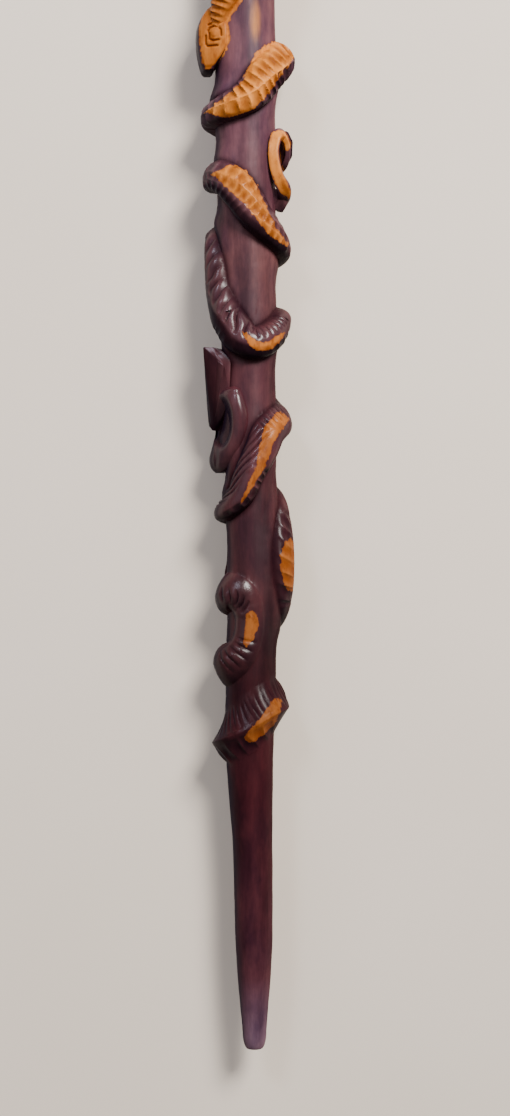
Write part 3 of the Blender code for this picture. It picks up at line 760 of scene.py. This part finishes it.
def faceted_block(name, corners):
    """A block with flat facets, left by straight cuts of a broad chisel."""
    mesh = bpy.data.meshes.new(name)
    shape = bmesh.new()
    for corner in corners:
        shape.verts.new(Vector(corner) * MM)
    bmesh.ops.convex_hull(shape, input=shape.verts)
    bmesh.ops.bevel(
        shape, geom=shape.edges, offset=BLOCK_EDGE, segments=2, affect="EDGES", clamp_overlap=True
    )
    bmesh.ops.triangulate(shape, faces=shape.faces)
    made = finished(shape, name, mesh)
    across, along, _ = np.array([vertex.normal for vertex in mesh.vertices]).T
    places = rows_of(mesh.vertices) / MM
    foot_end = places[:, 1].min()
    # painted shade: darker towards the foot end and on the facets that face the lower left, away from
    # the light
    low = 1.2 * ease((foot_end + BLOCK_SHADE_LENGTH - places[:, 1]) / BLOCK_SHADE_FADE)
    turned_away_shade = 1.1 * ease((-0.8 * across - 0.6 * along) / 0.4)
    add_marks(
        made, hollow=BLOCK_INNER_SHADE.get(name, 0), recess=np.maximum(low, turned_away_shade), raised=1
    )
    return made


def hollowed_lobe():
    """A leaf-like lobe with a rounded limb at the right and a deep hollow at the left."""
    rows = np.array(LOBE_SECTIONS)
    along = np.linspace(rows[0, 0], rows[-1, 0], 90)
    left, right, top = (hermite(rows[:, 0], column, along)[:, None] for column in rows[:, 1:].T)
    over = 0.5 - 0.5 * np.cos(np.linspace(0, math.pi, 49))
    under = np.linspace(1, 0, 17)[1:-1]
    u = np.concatenate([over, under])[None]
    x = left + (right - left) * u
    dome = np.clip(1 - np.abs(2 * u - 1) ** LOBE_FULLNESS, 0, None) ** (1 / LOBE_FULLNESS)
    lean = 1 - 0.50 * (1 - u) ** 1.6
    z = LOBE_BASE + (top - LOBE_BASE) * dome * lean
    y = np.repeat(along[:, None], u.shape[1], axis=1)
    # painted shade: the hollows are marked darker the deeper they are cut
    painted_shade = np.zeros_like(x)
    for middle_x, middle_y, half_x, half_y, deep in LOBE_HOLLOWS:
        out = ((x - middle_x) / half_x) ** 2 + ((y - middle_y) / half_y) ** 2
        sunk = np.exp(-out ** 3)
        z = z - deep * sunk * dome
        painted_shade = np.maximum(painted_shade, deep / 10 * sunk * dome)
    z[:, len(over):] = LOBE_BASE
    made = grid_skin("hollowed_lobe", np.stack([x, y, np.maximum(z, LOBE_BASE)], axis=-1) * MM)
    add_marks(made, recess=painted_shade.ravel(), raised=1)
    return made


def tail_curl():
    """The serpent's tail, a free ribbon curled over to the right."""
    across, share, up, wide, deep = np.array(TAIL_CURL).T
    knots = np.stack(
        [across * CARVED_TOP_RADIUS, CARVED_START + share * CARVED_LENGTH, up * CARVED_TOP_RADIUS,
         wide * CARVED_TOP_RADIUS, deep * CARVED_TOP_RADIUS], axis=1
    )
    walked = smooth_path(knots, PATH_STEP)
    centre, radius, depth = walked[:, :3], walked[:, 3].copy(), walked[:, 4]
    ends = np.minimum(np.arange(len(radius)), np.arange(len(radius))[::-1])
    flatness = depth / radius
    radius *= np.sqrt(np.clip(1 - (1 - (ends + 0.4) / 3).clip(0) ** 2, 0.05, 1))
    start = carried_along(centre, (0.45, 0.1, 1.0))
    made = grid_skin("tail_curl", rings_round(centre, radius, start, 40, TAIL_CURL_SQUARENESS, flatness))
    add_marks(made, raised=1)
    return made


def groove_depth(x, y):
    """How deeply the eye's lines are cut at a place on the head's face, from 0 to 1."""
    deep = np.zeros_like(x)
    for groove in EYE_GROOVES:
        for start, end in zip(groove, groove[1:]):
            out = line_distance(x, y, start, end)
            deep = np.maximum(deep, np.exp(-((out / GROOVE_HALF_WIDTH) ** 2)))
    return deep


def serpent_head():
    """The great serpent's head: a leaf with a flat bare face and a ringed eye."""
    rows = np.array(HEAD_SECTIONS)
    along = np.linspace(rows[0, 0], rows[-1, 0], 84)
    left, right, face = (hermite(rows[:, 0], column, along) for column in rows[:, 1:].T)
    turns = np.linspace(0, 2 * math.pi, 96, endpoint=False)
    corner = (np.abs(np.cos(turns)) ** 5 + np.abs(np.sin(turns)) ** 5) ** (-1 / 5)
    a, b = corner * np.cos(turns), corner * np.sin(turns)
    slope = math.tan(math.radians(HEAD_TILT_DEG))
    u, v = 0.5 + 0.5 * a[None], 0.5 + 0.5 * b[None]
    left, right, face = left[:, None], right[:, None], face[:, None]
    top_x = left + HEAD_DRAFT + (right - left - HEAD_DRAFT) * u
    base_x = left + (right - 1.0 - left) * u
    top_z = face + (top_x - 0.5 * (left + HEAD_DRAFT + right)) * slope
    x = base_x + (top_x - base_x) * v
    z = HEAD_BASE + (top_z - HEAD_BASE) * v
    y = np.repeat(along[:, None], len(turns), axis=1)
    on_face = ease((v - 0.8) / 0.15) * np.ones_like(x)
    eye_x, eye_y = x - EYE_PLACE[0], y - EYE_PLACE[1]
    grooves = groove_depth(eye_x, eye_y) * on_face
    pupil = ease((PUPIL_RADIUS - np.hypot(eye_x, eye_y)) / 0.8) * on_face
    z = z - GROOVE_DEPTH * grooves + PUPIL_HEIGHT * pupil
    made = grid_skin("serpent_head", np.stack([x, y, z], axis=-1) * MM)
    # painted shade: the face is browner all over, as it turns from the light, and more so towards the
    # snout; the eye's grooves are darker with gathered stain and painted shade
    face_shade = 0.65 + 0.2 * ease((800 - y) / 24)
    hollow = np.maximum(1.8 * grooves, face_shade).ravel()
    # painted shade on the head's side walls
    wall_shade = 0.8 * (1 - on_face.ravel())
    add_marks(made, hollow=hollow, recess=wall_shade, raised=1)
    return made


def crook():
    """A straight stem, then a spiral that closes over +X and leans to the floor."""
    spiral_base = KNOP_END + CROOK_STEM_LENGTH
    stem = np.arange(CROOK_START, spiral_base, 0.006)
    points = [(0.0, height) for height in stem]
    radii = [CROOK_STEM_RADIUS] * len(stem)
    length = math.radians(CROOK_SWEEP_DEG) * 0.5 * (CROOK_OUTER_RADIUS + CROOK_INNER_RADIUS)
    for share in np.linspace(0, 1, round(length / 0.0035)):
        turn = math.pi - math.radians(CROOK_SWEEP_DEG) * share
        reach = CROOK_OUTER_RADIUS + (CROOK_INNER_RADIUS - CROOK_OUTER_RADIUS) * share ** 0.9
        points.append(
            (CROOK_OUTER_RADIUS + reach * math.cos(turn), spiral_base + reach * math.sin(turn))
        )
        plain = CROOK_STEM_RADIUS + (CROOK_END_RADIUS - CROOK_STEM_RADIUS) * share
        in_bud = (share - 1 + CROOK_BUD_SHARE) / CROOK_BUD_SHARE
        bud = CROOK_BUD_RADIUS * math.sqrt(max(0.02, 1 - (2 * in_bud - 1) ** 2))
        radii.append(bud if in_bud > 0.5 else max(plain, bud))
    points, radii = np.array(points), np.array(radii)
    widest = int(np.argmax(points[:, 0]))
    axis_height = staff_place()[2]
    lean = math.asin((axis_height - radii[widest] + CROOK_FLAT_DEPTH) / points[widest, 0])
    centre = np.stack(
        [points[:, 0] * math.cos(lean), points[:, 1], -points[:, 0] * math.sin(lean)], axis=1
    )
    outward = np.tile((math.sin(lean), 0.0, math.cos(lean)), (len(centre), 1))
    made = grid_skin("crook", rings_round(centre, radii, outward, 36))
    add_marks(made)
    return made


def staff_place():
    """The foot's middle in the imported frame, where the shaft's axis starts."""
    points = rows_of(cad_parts["crosier"].data.vertices)
    foot = points[points[:, 1] < points[:, 1].min() + 0.0001]
    low, high = foot.min(axis=0), foot.max(axis=0)
    return Vector(0.5 * (low + high))


def joined(pieces):
    """The pieces as one closed surface, laid on the floor with its lowest coils worn flat."""
    body = pieces[0]
    for other in pieces[1:]:
        union = body.modifiers.new(f"Join {other.name}", "BOOLEAN")
        union.operation = "UNION"
        union.solver = "MANIFOLD"
        union.object = other
    graph = bpy.context.evaluated_depsgraph_get()
    mesh = bpy.data.meshes.new_from_object(body.evaluated_get(graph))
    places = rows_of(mesh.vertices)
    upward = rows_of(mesh.vertex_normals, "vector")[:, 2]
    steep = ease((STEEP_UPWARD - upward) / STEEP_FADE)
    bare = bareness(places) * (1 - steep) + STAINED * steep
    mesh.attributes["bare"].data.foreach_set("value", bare.astype(np.float32))
    mesh.attributes["worn"].data.foreach_set("value", wear(places).astype(np.float32))
    mesh.transform(Matrix.Translation(staff_place()))
    for vertex in mesh.vertices:
        vertex.co.z = max(vertex.co.z, 0.0)
    for piece in pieces:
        bpy.data.objects.remove(piece)
    made = new_object("carved_crosier", mesh)
    mesh.shade_smooth()
    mesh.set_sharp_from_angle(angle=math.radians(SHARP_EDGE_DEG))
    return made


# From the frame's middle to the staff's foot, and a tint that changes nothing
HALF_STAFF = 0.75
UNCHANGED = (1.0, 1.0, 1.0)


class Nodes:
    """A short way to build a material's node tree."""

    def __init__(self, name):
        self.material = bpy.data.materials.new(name)
        self.material.use_nodes = True
        self.tree = self.material.node_tree
        self.shader = self.tree.nodes["Principled BSDF"]

    def add(self, kind, **settings):
        made = self.tree.nodes.new("ShaderNode" + kind)
        for key, value in settings.items():
            setattr(made, key, value)
        return made

    def feed(self, node, **values):
        for name, value in values.items():
            self.fill(node.inputs[name.replace("_", " ")], value)

    def fill(self, socket, value):
        """Give a socket a number, a colour or another node's output."""
        if isinstance(value, bpy.types.NodeSocket):
            self.tree.links.new(value, socket)
        else:
            socket.default_value = (*value, 1) if isinstance(value, tuple) else value

    def mark(self, name):
        return self.add("Attribute", attribute_name=name).outputs["Fac"]

    def math(self, operation, *values):
        made = self.add("Math", operation=operation)
        for socket, value in zip(made.inputs, values):
            self.fill(socket, value)
        return made.outputs[0]

    def times(self, a, b):
        return self.math("MULTIPLY", a, b)

    def line(self, value, slope, start):
        return self.math("MULTIPLY_ADD", value, slope, start)

    def limited(self, value, high=1.0):
        return self.math("MAXIMUM", self.math("MINIMUM", value, high), 0.0)

    def split(self, coordinate):
        made = self.add("SeparateXYZ")
        self.fill(made.inputs[0], self.add("TexCoord").outputs[coordinate])
        return made.outputs

    def ramp(self, value, stops):
        made = self.add("ValToRGB")
        while len(made.color_ramp.elements) < len(stops):
            made.color_ramp.elements.new(0.5)
        for element, (place, colour) in zip(made.color_ramp.elements, stops):
            element.position = place
            element.color = (*colour, 1)
        self.fill(made.inputs[0], value)
        return made.outputs["Color"]

    def noise(self, scale, stretch=(1, 1, 1), detail=4.0, rough=0.55):
        mapping = self.add("Mapping")
        mapping.inputs["Scale"].default_value = stretch
        self.feed(mapping, Vector=self.add("TexCoord").outputs["Object"])
        made = self.add("TexNoise")
        self.feed(made, Scale=scale, Detail=detail, Roughness=rough, Vector=mapping.outputs[0])
        return made.outputs["Fac"]

    def mix(self, share, a, b, blend="MIX"):
        made = self.add("Mix", data_type="RGBA", blend_type=blend)
        for index, value in ((0, share), (6, a), (7, b)):
            self.fill(made.inputs[index], value)
        return made.outputs[2]

    def tinted(self, colour, value, stops):
        return self.mix(1.0, colour, self.ramp(value, stops), "MULTIPLY")


def stain_colour(n, height, under, steep, streaks):
    """Purple-brown with long streaks, darkest low on the carving and greyer at the tip."""
    stain = n.ramp(height, (
        (0.01, (0.11, 0.062, 0.094)), (0.06, (0.06, 0.018, 0.026)), (0.13, (0.055, 0.013, 0.018)),
        (0.2, (0.033, 0.0055, 0.009)), (0.31, (0.028, 0.006, 0.0085)), (0.42, (0.055, 0.014, 0.019)),
        (0.55, (0.062, 0.018, 0.025)), (0.63, (0.1, 0.036, 0.04)), (0.75, (0.118, 0.047, 0.066)),
        (0.86, (0.124, 0.047, 0.056)), (0.93, (0.078, 0.027, 0.031)),
    ))
    stain = n.tinted(stain, streaks, (
        (0.36, (0.68, 0.61, 0.66)), (0.5, UNCHANGED), (0.66, (1.3, 1.34, 1.28)),
    ))
    clouds = n.noise(36, (1, 0.45, 1), 5, 0.62)
    stain = n.tinted(stain, clouds, ((0.38, (0.56, 0.5, 0.66)), (0.62, (1.26, 1.22, 1.14))))
    # painted shade: steep faces turned to the left, away from the light, go a cool dark blue
    left_side_shade = n.times(n.limited(n.line(n.split("Normal")[0], -2.0, -0.9)), steep)
    rubbed = n.limited(n.times(n.mark("worn"), n.line(streaks, 4.5, -1.5)), 0.85)
    # painted shade: near black in the seams, flanks and block shadows, darker in the gouges' hollows
    # along with gathered stain, darker on faces turned to the foot and cool dark on steep left sides;
    # then the worn patch
    for share, colour in (
        (n.times(n.mark("recess"), 0.6), (0.006, 0.003, 0.005)),
        (n.times(n.mark("hollow"), 0.55), (0.012, 0.005, 0.008)),
        (n.times(under, 0.8), (0.005, 0.003, 0.006)),
        (n.times(left_side_shade, 0.75), (0.01, 0.008, 0.022)),
        (rubbed, (0.46, 0.155, 0.03)),
    ):
        stain = n.mix(share, stain, colour)
    return stain


def bare_colour(n, height, under, rim):
    """Yellow wood with a fine grain, browner low on the staff and at a patch's rim, and browner in cuts
    with gathered stain and painted shade.
    """
    bare = n.ramp(height, (
        (0.27, (0.23, 0.07, 0.014)), (0.38, (0.29, 0.085, 0.015)), (0.49, (0.33, 0.094, 0.015)),
        (0.56, (0.44, 0.135, 0.022)), (0.68, (0.56, 0.185, 0.03)), (0.77, (0.76, 0.26, 0.04)),
        (0.83, (0.5, 0.15, 0.022)),
    ))
    bare = n.tinted(bare, n.noise(150, (1, 0.1, 1), 4, 0.6), (
        (0.3, (0.74, 0.68, 0.55)), (0.5, UNCHANGED), (0.75, (1.18, 1.28, 1.6)),
    ))
    bare = n.tinted(bare, n.noise(210, (1, 0.5, 1), 4, 0.6), (
        (0.36, (0.7, 0.62, 0.56)), (0.48, UNCHANGED), (0.64, (1.1, 1.14, 1.22)),
    ))
    cut = n.limited(n.times(n.math("POWER", n.mark("hollow"), 1.5), 0.8), 0.9)
    # painted shade: browner in the cuts, together with gathered stain, and on faces turned towards the
    # foot
    for share, colour in (
        (cut, (0.17, 0.036, 0.004)),
        (n.times(under, 0.6), (0.15, 0.03, 0.003)),
        (n.times(rim, 0.6), (0.16, 0.04, 0.006)),
    ):
        bare = n.mix(share, bare, colour)
    return bare


def varnish(n, height, under, steep, shown, fine):
    """Satin on the plain shaft, glossier on the carving, duller in cuts and on bare wood."""
    rough = n.line(fine, 0.25, n.line(n.mark("raised"), -0.16, 0.36))
    dull = n.math("MAXIMUM", n.math("MAXIMUM", under, n.mark("recess")), n.mark("hollow"))
    bright = n.math("SUBTRACT", 1.0, n.math("MINIMUM", dull, 1.0))
    duller_foot = n.ramp(height, ((0.29, (0.35, 0.35, 0.35)), (0.34, UNCHANGED)))
    for share in (n.line(steep, -1.0, 1.0), n.line(shown, -0.5, 1.0), duller_foot):
        bright = n.times(bright, share)
    glossy = n.times(n.times(n.mark("raised"), bright), n.line(shown, -0.85, 1.0))
    n.feed(
        n.shader, Roughness=rough, Coat_Weight=n.times(glossy, 0.62), Coat_Roughness=0.25,
        Coat_IOR=1.38, Specular_IOR_Level=0.2,
    )
    n.feed(n.shader, Specular_IOR_Level=n.line(bright, 0.2, 0.02))


def carved_wood():
    """Purple-brown stain under gloss varnish, scraped to yellow wood on the high parts."""
    n = Nodes("stained_and_bare_wood")
    height = n.math("ADD", n.split("Object")[1], HALF_STAFF)
    facing = n.split("Normal")
    steep = n.limited(n.line(facing[2], -2.8, 2.2))
    # painted shade on faces turned towards the foot, away from the light
    under = n.times(n.limited(n.line(facing[1], -1.5, -0.30)), n.mark("raised"))
    streaks = n.noise(95, (1, 0.12, 1), 5, 0.64)
    fine = n.noise(420, (1, 0.06, 1), 3, 0.6)

    # a patch's edge is jagged and draws back where a cut crosses it
    jagged = n.line(n.noise(330, (1, 0.8, 1), 2, 0.5), 4.4, -2.2)
    edge = n.math("SUBTRACT", n.math("ADD", n.mark("bare"), jagged), n.times(n.mark("hollow"), 0.9))
    shown = n.math("MAXIMUM", n.line(edge, 1.6, 0.5), 0.0)
    shown = n.math("SMOOTH_MIN", shown, 1.0, 0.1)
    rim = n.math("SUBTRACT", 1.0, n.limited(n.times(edge, 0.8)))
    stain = stain_colour(n, height, under, steep, streaks)
    colour = n.mix(shown, stain, bare_colour(n, height, under, rim))
    varnish(n, height, under, steep, shown, fine)

    bump = n.add("Bump")
    n.feed(bump, Strength=0.35, Distance=0.0006, Height=n.line(streaks, 0.5, n.times(fine, 0.5)))
    n.feed(n.shader, Base_Color=colour, Normal=bump.outputs[0])
    return n.material


def pale_floor():
    """A plain pale floor under the staff."""
    size = 8.0
    mesh = bpy.data.meshes.new("floor")
    mesh.from_pydata(
        [(-size, -size, 0), (size, -size, 0), (size, size, 0), (-size, size, 0)], [], [(0, 1, 2, 3)]
    )
    floor = new_object("floor", mesh)
    n = Nodes("pale_floor")
    tones = ((0.35, (0.875, 0.765, 0.645)), (0.65, (0.90, 0.79, 0.675)))
    n.feed(n.shader, Base_Color=n.ramp(n.noise(3, detail=2), tones), Roughness=0.8)
    floor.data.materials.append(n.material)


def light(name, aim, offset, size, power, colour):
    """A square lamp that faces the point it is set off from."""
    lamp = bpy.data.lights.new(name, "AREA")
    lamp.size = size
    lamp.energy = power
    lamp.color = colour
    made = new_object(name, lamp)
    made.location = aim + Vector(offset)
    made.rotation_euler = Vector(offset).to_track_quat("Z", "Y").to_euler()


def studio(place):
    """Light from the upper right, as in the photograph, a faint fill and a cool window."""
    middle = place + Vector((0, 0.45, 0))
    light("key", middle, (1.1, 1.5, 2.0), 0.9, 125, (1.0, 0.96, 0.92))
    light("fill", middle, (-1.6, 0.3, 1.7), 1.6, 4, (0.82, 0.88, 1.0))
    light("window", middle, (-1.0, 1.5, 2.0), 0.6, 20, (0.80, 0.84, 1.0))
    world = bpy.data.worlds.new("studio")
    bpy.context.scene.world = world
    world.use_nodes = True
    background = world.node_tree.nodes["Background"]
    background.inputs["Color"].default_value = (0.93, 0.90, 0.88, 1)
    background.inputs["Strength"].default_value = 0.32


def camera(place):
    """Straight above the carving, as the photograph looks at the standing staff."""
    data = bpy.data.cameras.new("camera")
    data.sensor_width = 36
    data.lens = data.sensor_width * CAMERA_DISTANCE / PICTURE_HEIGHT
    made = new_object("camera", data)
    made.location = place + Vector((CAMERA_ACROSS, CAMERA_ALONG, CAMERA_DISTANCE))
    made.rotation_euler = (0, 0, math.radians(CAMERA_TURN_DEG))
    bpy.context.scene.camera = made


def main():
    wood = joined([
        carved_shaft(),
        serpent_head(),
        tail_curl(),
        *(faceted_block(name, corners) for name, corners in BLOCKS.items()),
        hollowed_lobe(),
        crook(),
    ])
    wood.data.materials.clear()
    wood.data.materials.append(carved_wood())
    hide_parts("crosier")
    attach(wood, "root")
    pale_floor()
    place = staff_place()
    studio(place)
    camera(place)


main()
